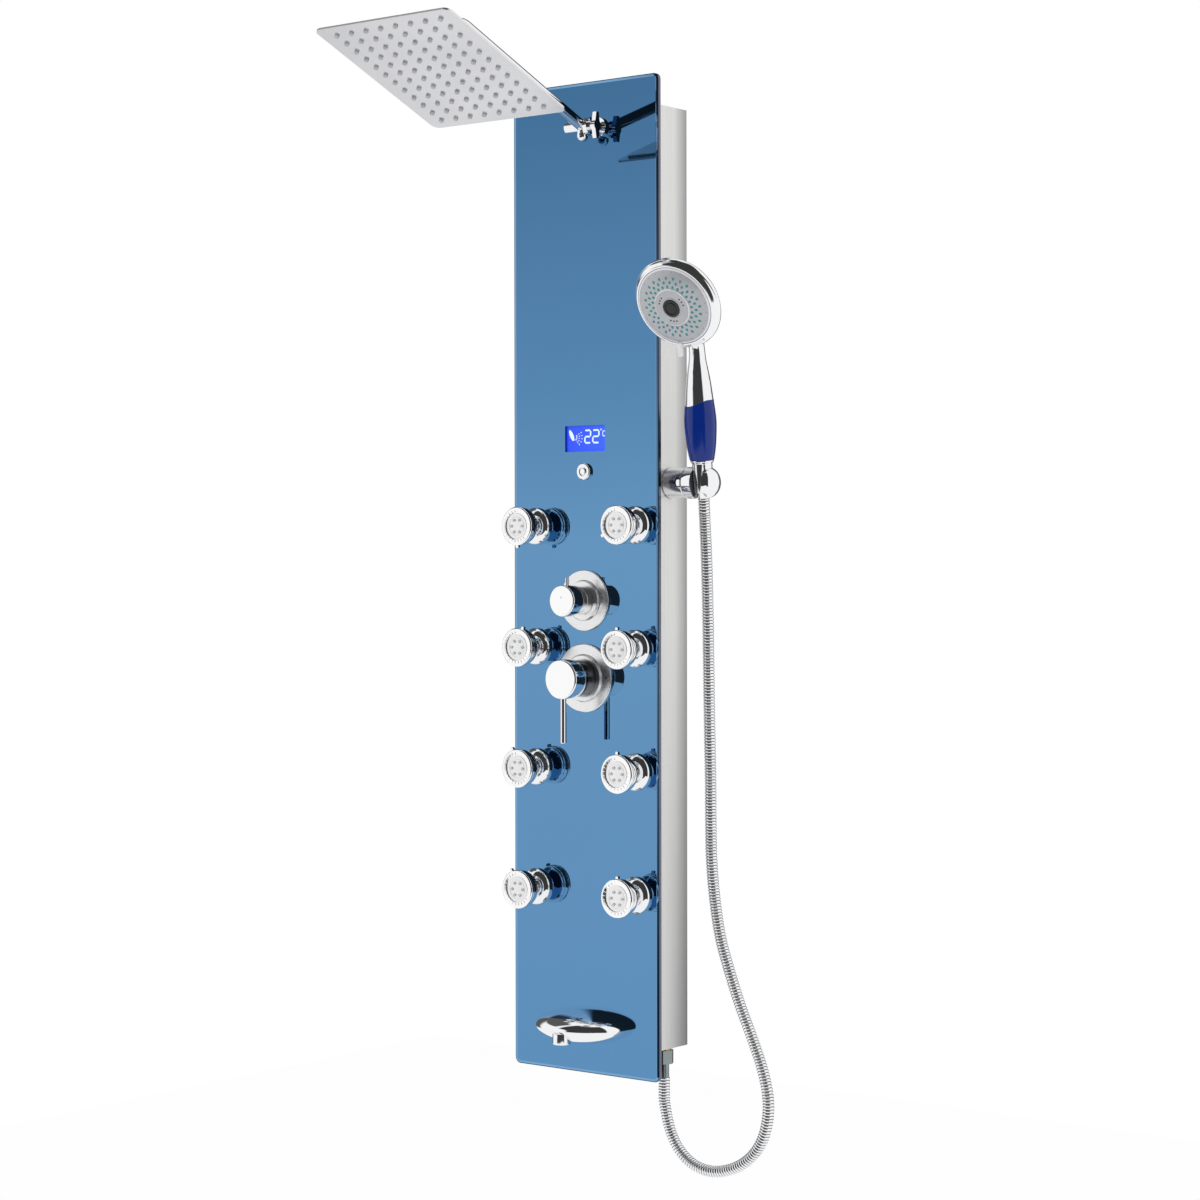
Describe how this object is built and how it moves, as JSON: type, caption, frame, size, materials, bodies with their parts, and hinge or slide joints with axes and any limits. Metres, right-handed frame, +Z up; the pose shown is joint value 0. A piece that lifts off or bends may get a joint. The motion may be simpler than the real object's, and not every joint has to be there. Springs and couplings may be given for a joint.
{
  "type": "shower panel column",
  "caption": "Wall shower column with a blue mirror glass front, tilting rain head, swivelling body jets, hand shower in a holder, lever mixer, diverter, display and bath spout.",
  "frame": {"origin": "middle of the upper wall bracket's two screw holes, on the wall plane", "axes": "+X to the right seen from the front, -Y out of the wall towards the user, +Z up"},
  "size_m": [0.3895, 0.489, 1.4628],
  "materials": {
    "blue_mirror_glass": "mirror backed, polished",
    "casing_metal": "satin",
    "chrome": "polished",
    "chromed_plastic": "chrome plated",
    "steel": "brushed",
    "hose_skin": "ribbed, metallic",
    "raw_brass": "raw",
    "cartridge_plastic": "matt",
    "dark_plastic": "matt",
    "display_blue": "backlit",
    "nozzle_rubber": "soft",
    "grip_blue": "gloss",
    "face_grey": "satin",
    "jet_white": "chromed rim, white face"
  },
  "bodies": {
    "panel": {"glass_panel": "blue_mirror_glass", "casing_channel": "casing_metal", "end_caps": "casing_metal", "wall_brackets": "steel", "valve_body": "raw_brass", "rain_pipe": "raw_brass", "jet_pipes": "raw_brass", "outlet_pipes": "raw_brass", "mixer_cartridge": "cartridge_plastic", "mixer_plate": "chrome", "mixer_bonnet": "chrome", "diverter_cartridge": "cartridge_plastic", "diverter_plate": "chrome", "display_housing": "dark_plastic", "display_window": "display_blue", "button_ring": "chrome", "arm_bracket": "chrome", "holder_base": "chrome", "hose": "hose_skin", "hose_nut": "chrome", "spout": "chrome", "aerator": "chrome", "jet_sockets": "chromed_plastic"},
    "mixer_swivel": {"mixer_carrier": "steel"},
    "mixer_handle": {"mixer_stem": "steel", "mixer_knob": "chrome", "mixer_lever": "chrome"},
    "diverter": {"diverter_knob": "chrome", "diverter_pin": "chrome"},
    "button": {"push_button": "chromed_plastic"},
    "arm": {"rain_arm": "chrome"},
    "lock": {"lock_wing": "chrome"},
    "head_ball": {"swivel_ball": "chrome"},
    "head": {"swivel_nut": "chrome", "rain_head": "chrome", "rain_nozzles": "nozzle_rubber"},
    "clip": {"holder_clip": "chromed_plastic"},
    "handset": {"handset_body": "chromed_plastic", "handset_grip": "grip_blue", "hose_cone": "chrome"},
    "handset_front": {"handset_face": "face_grey", "handset_button": "dark_plastic"},
    "jet_1": {"jet_head_1": "chromed_plastic"},
    "jet_front_1": {"jet_ring_1": "jet_white"},
    "jet_2": {"jet_head_2": "chromed_plastic"},
    "jet_front_2": {"jet_ring_2": "jet_white"},
    "jet_3": {"jet_head_3": "chromed_plastic"},
    "jet_front_3": {"jet_ring_3": "jet_white"},
    "jet_4": {"jet_head_4": "chromed_plastic"},
    "jet_front_4": {"jet_ring_4": "jet_white"},
    "jet_5": {"jet_head_5": "chromed_plastic"},
    "jet_front_5": {"jet_ring_5": "jet_white"},
    "jet_6": {"jet_head_6": "chromed_plastic"},
    "jet_front_6": {"jet_ring_6": "jet_white"},
    "jet_7": {"jet_head_7": "chromed_plastic"},
    "jet_front_7": {"jet_ring_7": "jet_white"},
    "jet_8": {"jet_head_8": "chromed_plastic"},
    "jet_front_8": {"jet_ring_8": "jet_white"}
  },
  "joints": [
    {"name": "mixer_turn", "type": "hinge", "parent": "panel", "child": "mixer_swivel", "pos_m": [0, -0.098, -0.6304], "axis": [0, -1, 0], "range_deg": [-45, 45]},
    {"name": "mixer_lift", "type": "hinge", "parent": "mixer_swivel", "child": "mixer_handle", "pos_m": [0, -0.098, -0.6304], "axis": [-1, 0, 0], "range_deg": [0, 20]},
    {"name": "diverter_turn", "type": "hinge", "parent": "panel", "child": "diverter", "pos_m": [0, -0.103, -0.5285], "axis": [0, -1, 0], "continuous": true},
    {"name": "button_press", "type": "slide", "parent": "panel", "child": "button", "axis": [0, 1, 0], "range_m": [0, 0.0015], "stiffness_N_per_m": 400, "springref_m": -0.001},
    {"name": "arm_tilt", "type": "hinge", "parent": "panel", "child": "arm", "pos_m": [0.014, -0.098, 0.088], "axis": [-1, 0, 0], "range_deg": [-40, 25]},
    {"name": "lock_turn", "type": "hinge", "parent": "arm", "child": "lock", "pos_m": [0.034, -0.098, 0.088], "axis": [1, 0, 0], "continuous": true},
    {"name": "head_nod", "type": "hinge", "parent": "arm", "child": "head_ball", "pos_m": [0.014, -0.36979, 0.13871], "axis": [1, 0, 0], "range_deg": [-15, 15]},
    {"name": "head_roll", "type": "hinge", "parent": "head_ball", "child": "head", "pos_m": [0.014, -0.36979, 0.13871], "axis": [0, -0.9272, 0.3746], "range_deg": [-15, 15]},
    {"name": "holder_tilt", "type": "hinge", "parent": "panel", "child": "clip", "pos_m": [0.161, -0.035, -0.3758], "axis": [1, 0, 0], "range_deg": [0, 35], "deforming": ["hose"]},
    {"name": "handset_lift", "type": "slide", "parent": "clip", "child": "handset", "axis": [0.0436, -0.139, 0.9893], "range_m": [0, 0.06], "deforming": ["hose"]},
    {"name": "spray_turn", "type": "hinge", "parent": "handset", "child": "handset_front", "pos_m": [0.17443, -0.115, -0.15495], "axis": [0.05, -0.8762, -0.4793], "range_deg": [-40, 40]},
    {"name": "jet_1_tilt", "type": "hinge", "parent": "panel", "child": "jet_1", "pos_m": [-0.0825, -0.094, -0.4305], "axis": [1, 0, 0], "range_deg": [-15, 15]},
    {"name": "jet_1_turn", "type": "hinge", "parent": "jet_1", "child": "jet_front_1", "pos_m": [-0.0825, -0.11, -0.4305], "axis": [0, -1, 0], "continuous": true},
    {"name": "jet_2_tilt", "type": "hinge", "parent": "panel", "child": "jet_2", "pos_m": [-0.0825, -0.094, -0.5905], "axis": [1, 0, 0], "range_deg": [-15, 15]},
    {"name": "jet_2_turn", "type": "hinge", "parent": "jet_2", "child": "jet_front_2", "pos_m": [-0.0825, -0.11, -0.5905], "axis": [0, -1, 0], "continuous": true},
    {"name": "jet_3_tilt", "type": "hinge", "parent": "panel", "child": "jet_3", "pos_m": [-0.0825, -0.094, -0.7505], "axis": [1, 0, 0], "range_deg": [-15, 15]},
    {"name": "jet_3_turn", "type": "hinge", "parent": "jet_3", "child": "jet_front_3", "pos_m": [-0.0825, -0.11, -0.7505], "axis": [0, -1, 0], "continuous": true},
    {"name": "jet_4_tilt", "type": "hinge", "parent": "panel", "child": "jet_4", "pos_m": [-0.0825, -0.094, -0.9105], "axis": [1, 0, 0], "range_deg": [-15, 15]},
    {"name": "jet_4_turn", "type": "hinge", "parent": "jet_4", "child": "jet_front_4", "pos_m": [-0.0825, -0.11, -0.9105], "axis": [0, -1, 0], "continuous": true},
    {"name": "jet_5_tilt", "type": "hinge", "parent": "panel", "child": "jet_5", "pos_m": [0.0825, -0.094, -0.4305], "axis": [1, 0, 0], "range_deg": [-15, 15]},
    {"name": "jet_5_turn", "type": "hinge", "parent": "jet_5", "child": "jet_front_5", "pos_m": [0.0825, -0.11, -0.4305], "axis": [0, -1, 0], "continuous": true},
    {"name": "jet_6_tilt", "type": "hinge", "parent": "panel", "child": "jet_6", "pos_m": [0.0825, -0.094, -0.5905], "axis": [1, 0, 0], "range_deg": [-15, 15]},
    {"name": "jet_6_turn", "type": "hinge", "parent": "jet_6", "child": "jet_front_6", "pos_m": [0.0825, -0.11, -0.5905], "axis": [0, -1, 0], "continuous": true},
    {"name": "jet_7_tilt", "type": "hinge", "parent": "panel", "child": "jet_7", "pos_m": [0.0825, -0.094, -0.7505], "axis": [1, 0, 0], "range_deg": [-15, 15]},
    {"name": "jet_7_turn", "type": "hinge", "parent": "jet_7", "child": "jet_front_7", "pos_m": [0.0825, -0.11, -0.7505], "axis": [0, -1, 0], "continuous": true},
    {"name": "jet_8_tilt", "type": "hinge", "parent": "panel", "child": "jet_8", "pos_m": [0.0825, -0.094, -0.9105], "axis": [1, 0, 0], "range_deg": [-15, 15]},
    {"name": "jet_8_turn", "type": "hinge", "parent": "jet_8", "child": "jet_front_8", "pos_m": [0.0825, -0.11, -0.9105], "axis": [0, -1, 0], "continuous": true}
  ]
}
